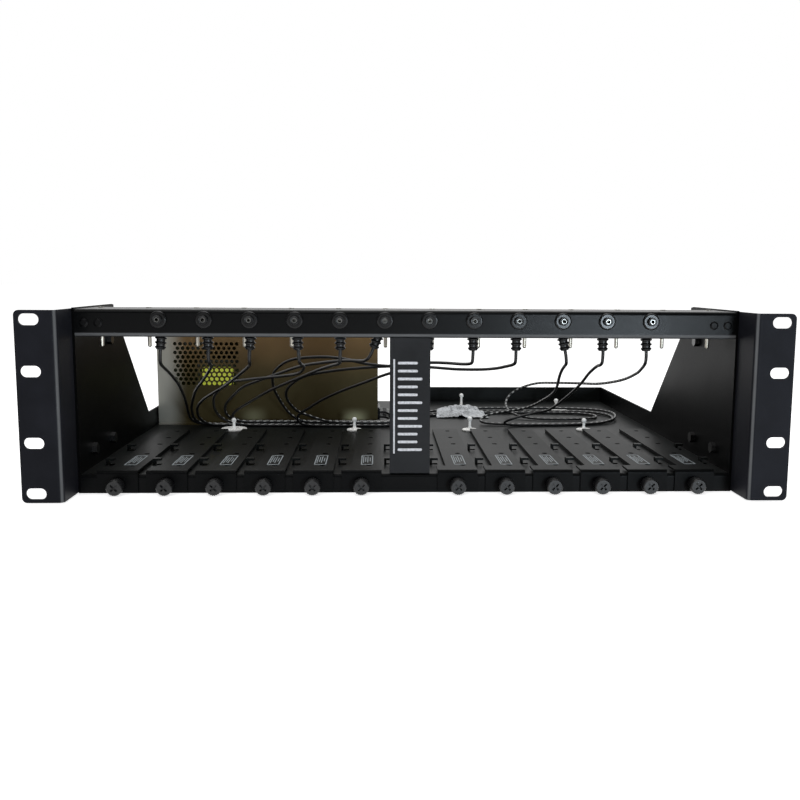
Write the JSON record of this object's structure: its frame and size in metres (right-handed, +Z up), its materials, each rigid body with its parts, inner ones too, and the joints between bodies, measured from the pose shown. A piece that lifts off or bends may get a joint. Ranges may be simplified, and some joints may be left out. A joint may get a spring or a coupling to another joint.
{
  "type": "media converter chassis",
  "caption": "Black 19-inch rack chassis that holds desktop converters upright between a tray and a top rail, with parked DC plugs, slot plates and a built-in power supply.",
  "frame": {"origin": "middle of the chassis's outline, on the standing surface", "axes": "+X to the right seen from the front, +Y to the rear, +Z up"},
  "size_m": [0.4826, 0.411, 0.1207],
  "materials": {
    "chassis_black": "fine-textured black powder coat",
    "ear_black": "fine-textured black powder coat, a little smoother",
    "plate_black": "satin black powder coat",
    "screw_black": "black oxide, satin",
    "pin_steel": "turned steel, bright",
    "rubber_black": "matt black rubber",
    "plug_black": "moulded black PVC",
    "lead_black": "black PVC jacket with a pale dashed marking stripe",
    "zinc_yellow": "zinc-plated steel",
    "supply_zinc": "zinc-coated sheet, satin",
    "board_green": "green solder mask",
    "ferrite": "dull grey ferrite",
    "winding_tape": "yellow-green polyester tape",
    "capacitor_sleeve": "dark blue shrink sleeve",
    "sink_aluminium": "extruded aluminium",
    "terminal_green": "green nylon",
    "inlet_black": "moulded black plastic",
    "nylon_white": "white nylon",
    "knob_black": "black knurled knob on a steel screw"
  },
  "bodies": {
    "chassis": {"tray": "chassis_black", "side_wall_left": "chassis_black", "side_wall_right": "chassis_black", "ear_left": "ear_black", "ear_right": "ear_black", "ear_fasteners": "screw_black", "top_rail": "chassis_black", "guide_pins": "pin_steel", "grommets": "rubber_black", "parked_plugs": "plug_black", "centre_strut": "chassis_black", "rivets": "screw_black", "nuts_and_standoffs": "zinc_yellow", "supply_base": "supply_zinc", "supply_cover": "supply_zinc", "supply_board": "board_green", "transformer_core": "ferrite", "transformer_winding": "winding_tape", "supply_capacitors": "capacitor_sleeve", "heat_sinks": "sink_aluminium", "output_terminals": "terminal_green", "mains_inlet": "inlet_black", "cable_posts": "nylon_white", "lead_1": "lead_black", "lead_2": "lead_black", "lead_3": "lead_black", "lead_4": "lead_black", "lead_5": "lead_black", "lead_6": "lead_black", "lead_7": "lead_black", "lead_8": "lead_black", "lead_9": "lead_black", "lead_10": "lead_black", "lead_11": "lead_black", "lead_12": "lead_black"},
    "slot_plate_1": {"slot_plate_1": "plate_black"},
    "thumbscrew_1": {"thumbscrew_1": "knob_black"},
    "slot_plate_2": {"slot_plate_2": "plate_black"},
    "thumbscrew_2": {"thumbscrew_2": "knob_black"},
    "slot_plate_3": {"slot_plate_3": "plate_black"},
    "thumbscrew_3": {"thumbscrew_3": "knob_black"},
    "slot_plate_4": {"slot_plate_4": "plate_black"},
    "thumbscrew_4": {"thumbscrew_4": "knob_black"},
    "slot_plate_5": {"slot_plate_5": "plate_black"},
    "thumbscrew_5": {"thumbscrew_5": "knob_black"},
    "slot_plate_6": {"slot_plate_6": "plate_black"},
    "thumbscrew_6": {"thumbscrew_6": "knob_black"},
    "slot_plate_7": {"slot_plate_7": "plate_black"},
    "thumbscrew_7": {"thumbscrew_7": "knob_black"},
    "slot_plate_8": {"slot_plate_8": "plate_black"},
    "thumbscrew_8": {"thumbscrew_8": "knob_black"},
    "slot_plate_9": {"slot_plate_9": "plate_black"},
    "thumbscrew_9": {"thumbscrew_9": "knob_black"},
    "slot_plate_10": {"slot_plate_10": "plate_black"},
    "thumbscrew_10": {"thumbscrew_10": "knob_black"},
    "slot_plate_11": {"slot_plate_11": "plate_black"},
    "thumbscrew_11": {"thumbscrew_11": "knob_black"},
    "slot_plate_12": {"slot_plate_12": "plate_black"},
    "thumbscrew_12": {"thumbscrew_12": "knob_black"},
    "fuse_drawer": {"fuse_drawer": "inlet_black"}
  },
  "joints": [
    {"name": "slot_plate_1_slide", "type": "slide", "parent": "chassis", "child": "slot_plate_1", "axis": [0, -1, 0], "range_m": [0, 0.15]},
    {"name": "thumbscrew_1_turn", "type": "hinge", "parent": "slot_plate_1", "child": "thumbscrew_1", "pos_m": [-0.1905, -0.182, 0.0056], "axis": [0, 1, 0], "continuous": true},
    {"name": "slot_plate_2_slide", "type": "slide", "parent": "chassis", "child": "slot_plate_2", "axis": [0, -1, 0], "range_m": [0, 0.15]},
    {"name": "thumbscrew_2_turn", "type": "hinge", "parent": "slot_plate_2", "child": "thumbscrew_2", "pos_m": [-0.15875, -0.182, 0.0056], "axis": [0, 1, 0], "continuous": true},
    {"name": "slot_plate_3_slide", "type": "slide", "parent": "chassis", "child": "slot_plate_3", "axis": [0, -1, 0], "range_m": [0, 0.15]},
    {"name": "thumbscrew_3_turn", "type": "hinge", "parent": "slot_plate_3", "child": "thumbscrew_3", "pos_m": [-0.127, -0.182, 0.0056], "axis": [0, 1, 0], "continuous": true},
    {"name": "slot_plate_4_slide", "type": "slide", "parent": "chassis", "child": "slot_plate_4", "axis": [0, -1, 0], "range_m": [0, 0.15]},
    {"name": "thumbscrew_4_turn", "type": "hinge", "parent": "slot_plate_4", "child": "thumbscrew_4", "pos_m": [-0.09525, -0.182, 0.0056], "axis": [0, 1, 0], "continuous": true},
    {"name": "slot_plate_5_slide", "type": "slide", "parent": "chassis", "child": "slot_plate_5", "axis": [0, -1, 0], "range_m": [0, 0.15]},
    {"name": "thumbscrew_5_turn", "type": "hinge", "parent": "slot_plate_5", "child": "thumbscrew_5", "pos_m": [-0.0635, -0.182, 0.0056], "axis": [0, 1, 0], "continuous": true},
    {"name": "slot_plate_6_slide", "type": "slide", "parent": "chassis", "child": "slot_plate_6", "axis": [0, -1, 0], "range_m": [0, 0.15]},
    {"name": "thumbscrew_6_turn", "type": "hinge", "parent": "slot_plate_6", "child": "thumbscrew_6", "pos_m": [-0.03175, -0.182, 0.0056], "axis": [0, 1, 0], "continuous": true},
    {"name": "slot_plate_7_slide", "type": "slide", "parent": "chassis", "child": "slot_plate_7", "axis": [0, -1, 0], "range_m": [0, 0.15]},
    {"name": "thumbscrew_7_turn", "type": "hinge", "parent": "slot_plate_7", "child": "thumbscrew_7", "pos_m": [0.03175, -0.182, 0.0056], "axis": [0, 1, 0], "continuous": true},
    {"name": "slot_plate_8_slide", "type": "slide", "parent": "chassis", "child": "slot_plate_8", "axis": [0, -1, 0], "range_m": [0, 0.15]},
    {"name": "thumbscrew_8_turn", "type": "hinge", "parent": "slot_plate_8", "child": "thumbscrew_8", "pos_m": [0.0635, -0.182, 0.0056], "axis": [0, 1, 0], "continuous": true},
    {"name": "slot_plate_9_slide", "type": "slide", "parent": "chassis", "child": "slot_plate_9", "axis": [0, -1, 0], "range_m": [0, 0.15]},
    {"name": "thumbscrew_9_turn", "type": "hinge", "parent": "slot_plate_9", "child": "thumbscrew_9", "pos_m": [0.09525, -0.182, 0.0056], "axis": [0, 1, 0], "continuous": true},
    {"name": "slot_plate_10_slide", "type": "slide", "parent": "chassis", "child": "slot_plate_10", "axis": [0, -1, 0], "range_m": [0, 0.15]},
    {"name": "thumbscrew_10_turn", "type": "hinge", "parent": "slot_plate_10", "child": "thumbscrew_10", "pos_m": [0.127, -0.182, 0.0056], "axis": [0, 1, 0], "continuous": true},
    {"name": "slot_plate_11_slide", "type": "slide", "parent": "chassis", "child": "slot_plate_11", "axis": [0, -1, 0], "range_m": [0, 0.15]},
    {"name": "thumbscrew_11_turn", "type": "hinge", "parent": "slot_plate_11", "child": "thumbscrew_11", "pos_m": [0.15875, -0.182, 0.0056], "axis": [0, 1, 0], "continuous": true},
    {"name": "slot_plate_12_slide", "type": "slide", "parent": "chassis", "child": "slot_plate_12", "axis": [0, -1, 0], "range_m": [0, 0.15]},
    {"name": "thumbscrew_12_turn", "type": "hinge", "parent": "slot_plate_12", "child": "thumbscrew_12", "pos_m": [0.1905, -0.182, 0.0056], "axis": [0, 1, 0], "continuous": true},
    {"name": "fuse_drawer_slide", "type": "slide", "parent": "chassis", "child": "fuse_drawer", "axis": [0, 1, 0], "range_m": [0, 0.014]}
  ]
}
